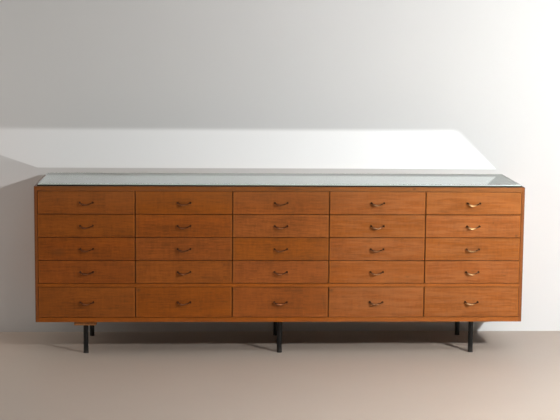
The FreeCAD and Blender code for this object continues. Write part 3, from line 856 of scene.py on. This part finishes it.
# Edge of the sheet: a half oval from the underside to the top, which stands out by a share of half the
# thickness, between two narrow flat bands that keep the large faces true.
def glassProfile():
    glass = glassSheet
    radius = (glass["top"] - glass["bottom"]) / 2
    turn = np.linspace(-np.pi / 2, np.pi / 2, 13)
    inset = radius * glass["bulge"] * (1 - np.cos(turn))
    level = (glass["top"] + glass["bottom"]) / 2 + radius * np.sin(turn)
    band = inset[0] + glass["flat"]
    return np.column_stack([np.concatenate([[band], inset, [band]]),
                            np.concatenate([[glass["bottom"]], level, [glass["top"]]])])


sheetRings = slab(glassProfile(), glassSheet["low"], glassSheet["high"], glassSheet["corner"], 7)
sheet = ringMesh("glassSheet", [sheetRings], "glass", 40.0)
sheet.data.materials.append(finishes["glassRim"])
normals = np.zeros(len(sheet.data.polygons) * 3)
sheet.data.polygons.foreach_get("normal", normals)
onRim = np.abs(normals[2::3]) < glassSheet["flatFace"]
sheet.data.polygons.foreach_set("material_index", onRim.astype(int))
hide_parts("glass_top")
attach(sheet, "case")
print("glass made")


# Floor and wall, which are not part of the chest

# Lights by their place, what they face and their size; without an aim they face down. The key's place comes
# from the photo's shadows: the chest's on the wall and floor, and the glass's light patch on the wall. The
# outer four light the far floor.
dayWhite, warmWhite = (1.0, 0.98, 0.95), (1.0, 0.92, 0.84)
outer = dict(color=dayWhite, spread=96.0)
lights = dict(
    key=dict(place=(2.95, -3.89, 2.46), aim=(2.95, 0.0, 1.6), size=(0.16, 0.16), power=190.0,
             color=dayWhite, spread=145.0),
    fill=dict(place=(-2.0, -6.0, 3.2), aim=(-0.2, 0.0, 0.6), size=(5.0, 3.4), power=8.0,
              color=(1.0, 0.92, 0.82)),
    back=dict(place=(1.5, 4.5, 2.2), aim=(0.0, 0.3, 0.5), size=(3.4, 1.8), power=150.0,
              color=(1.0, 0.99, 0.97)),
    top=dict(place=(2.4, -4.1, 4.6), aim=(2.4, -3.9, 0.0), size=(5.0, 3.0), power=128.0,
             color=dayWhite, spread=100.0),
    left=dict(place=(-3.8, -0.2, 1.3), aim=(-1.4, 0.1, 0.5), size=(1.2, 1.6), power=32.0,
              color=warmWhite),
    ceiling=dict(place=(0.0, -2.0, 7.5), size=(34.0, 34.0), power=710.0, color=warmWhite),
    outerLeft=dict(outer, place=(-14.0, -2.0, 6.0), size=(12.0, 30.0), power=1100.0),
    outerRight=dict(outer, place=(14.5, -2.0, 6.0), size=(11.0, 30.0), power=850.0),
    outerBack=dict(outer, place=(0.0, 11.0, 6.0), size=(16.0, 12.0), power=650.0),
    outerFront=dict(outer, place=(0.0, -13.5, 6.0), size=(16.0, 11.0), power=700.0),
)
room = dict(
    wallPlace=0.367, wallHalf=16.0, wallHeight=5.0, floorHalf=16.0,
    windowHalf=1.34, windowLow=0.235, windowTop=0.985,
    floorColors=((0.420, 0.362, 0.315), (0.466, 0.404, 0.354)), grit=(0.12, (0.35, 0.30, 0.26)),
    floorRoughness=0.55, floorBump=0.0004,
    wallColors=((0.617, 0.637, 0.652), (0.647, 0.667, 0.682)), wallRoughness=0.9,
    thrown=0.285, thrownFrom=5.4, sharpest=0.005, softest=0.034,
)


# A flat sheet from one corner to the opposite one
def stageSheet(name, low, high, material):
    corners = [low, (high[0], low[1], low[2]), high, (low[0], high[1], high[2])]
    addMesh(name, corners, [(0, 1, 2, 3)], material)


def floorMaterial():
    material, tree, place = startMaterial("paleFloor")
    clouds = noiseAt(tree, place, (1.2, 1.2, 1.0), detail=5.0, roughness=0.6)
    grit = noiseAt(tree, place, (60.0, 60.0, 1.0), detail=3.0)
    color = shades(tree, clouds, room["floorColors"])
    color = tinted(tree, color, grit, room["grit"])
    return finishMaterial(material, color, room["floorRoughness"], grit, room["floorBump"])


# The light that the glass throws up onto the wall. A wall point is joined to the key light's mirror place
# under the glass; where that line crosses the glass top, the wall is lit, with edges that soften away from
# the glass, and the light falls off with the fourth power of the distance.
def thrownLight(tree, place):
    keyX, keyY, keyZ = lights["key"]["place"]
    lowY = glassSheet["low"][1]
    highX, highY = glassSheet["high"]
    level = glassSheet["top"]
    mirror = (keyX, keyY, 2 * level - keyZ)
    fromMirror = vectorCalc(tree, "SUBTRACT", place, mirror)
    x, y, z = axesOf(tree, fromMirror)
    share = calc(tree, "DIVIDE", level - mirror[2], z)
    glassX = scaled(tree, x, share, mirror[0])
    glassY = scaled(tree, y, share, mirror[1])
    softness = addNode(tree, "MapRange", {0: glassY, 1: highY, 2: lowY, 3: room["sharpest"],
                       4: room["softest"]}).outputs[0]
    minusSoftness = product(tree, softness, -1.0)
    inside = 1.0
    for gap in (calc(tree, "SUBTRACT", highX, calc(tree, "ABSOLUTE", glassX)),
                calc(tree, "SUBTRACT", highY, glassY), calc(tree, "SUBTRACT", glassY, lowY)):
        inside = product(tree, inside, smoothRise(tree, gap, minusSoftness, softness))
    nearness = calc(tree, "DIVIDE", room["thrownFrom"], vectorCalc(tree, "LENGTH", fromMirror))
    strength = product(tree, calc(tree, "POWER", nearness, 4.0), room["thrown"])
    return product(tree, inside, strength)


# The wall shows only from the front, so that views from behind see the chest's back. The window in it, which
# the chest hides, lets the light from behind through: shadow rays and diffuse rays pass there.
def wallMaterial():
    material, tree, place = startMaterial("paleWall")
    clouds = noiseAt(tree, place, (1.5, 1.0, 1.5), detail=4.0)
    color = shades(tree, clouds, room["wallColors"])
    finishMaterial(material, color, room["wallRoughness"], fixed={
        "Emission Color": rgb((1.0, 1.0, 1.0)), "Emission Strength": thrownLight(tree, place)})
    surface = tree.nodes["Material Output"].inputs[0]
    axes = axesOf(tree, place)
    between = product(tree, calc(tree, "GREATER_THAN", axes[2], room["windowLow"]),
                      calc(tree, "LESS_THAN", axes[2], room["windowTop"]))
    within = calc(tree, "LESS_THAN", calc(tree, "ABSOLUTE", axes[0]), room["windowHalf"])
    rays = addNode(tree, "LightPath").outputs
    passing = product(tree, product(tree, within, between),
                      calc(tree, "MAXIMUM", rays["Is Shadow Ray"], rays["Is Diffuse Ray"]))
    behind = addNode(tree, "NewGeometry").outputs["Backfacing"]
    clear = addNode(tree, "BsdfTransparent").outputs[0]
    mixed = addNode(tree, "MixShader", {0: calc(tree, "MAXIMUM", behind, passing),
                    1: surface.links[0].from_socket, 2: clear})
    tree.links.new(mixed.outputs[0], surface)
    return material


reach, half, wallY = room["floorHalf"], room["wallHalf"], room["wallPlace"]
floorFinish = floorMaterial()
stageSheet("floor", (-reach, -reach, 0), (reach, wallY, 0), floorFinish)
stageSheet("floorBehind", (-reach, wallY, 0), (reach, reach, 0), floorFinish)
stageSheet("wall", (-half, wallY, 0), (half, wallY, room["wallHeight"]), wallMaterial())
print("floor and wall made")


# Light and camera

def softLight(name, place, size, power, color, aim=None, spread=180.0):
    data = bpy.data.lights.new(name, "AREA")
    data.shape = "RECTANGLE"
    data.size, data.size_y = size
    data.energy, data.color, data.spread = power, color, math.radians(spread)
    lamp = addObject(name, data)
    lamp.location = place
    facing = Vector(aim or (place[0], place[1], 0.0)) - Vector(place)
    lamp.rotation_euler = facing.to_track_quat("-Z", "Y").to_euler()
    lamp.visible_camera = False


for lightName, settings in lights.items():
    softLight(lightName, **settings)

# the world's strength: for every ray, more for what the camera sees, and more for reflections
worldLight = dict(color=(1.0, 0.99, 0.97), base=0.02, seen=0.76, mirrored=0.30)
world = bpy.data.worlds.new("paleRoom")
bpy.context.scene.world = world
world.use_nodes = True
worldTree = world.node_tree
worldTree.nodes.clear()
rays = addNode(worldTree, "LightPath").outputs
strength = scaled(worldTree, rays["Is Camera Ray"], worldLight["seen"], worldLight["base"])
strength = scaled(worldTree, rays["Is Glossy Ray"], worldLight["mirrored"], strength)
sky = addNode(worldTree, "Background", {"Color": rgb(worldLight["color"]), "Strength": strength})
worldTree.links.new(sky.outputs[0], addNode(worldTree, "OutputWorld").inputs[0])

# angles in degrees, lens and sensor in millimetres
view = dict(place=(-0.4304, -8.8887, 1.9796), yaw=-2.82, pitch=-7.50, roll=-0.49, lens=97.89, sensor=36.0,
            farEnd=200.0)
turn = (Matrix.Rotation(math.radians(view["yaw"]), 3, "Z")
        @ Matrix.Rotation(math.radians(view["pitch"]), 3, "X")
        @ Matrix.Rotation(math.radians(view["roll"]), 3, "Y"))
right, forward, up = turn.col
placed = Matrix((right, up, -forward)).transposed().to_4x4()
placed.translation = view["place"]
cameraData = bpy.data.cameras.new("camera")
cameraData.lens, cameraData.sensor_width = view["lens"], view["sensor"]
cameraData.sensor_fit = "HORIZONTAL"
cameraData.clip_end = view["farEnd"]
camera = addObject("camera", cameraData)
camera.matrix_world = placed
bpy.context.scene.camera = camera
bpy.context.scene.view_settings.view_transform = "Standard"
print("lights and camera set")
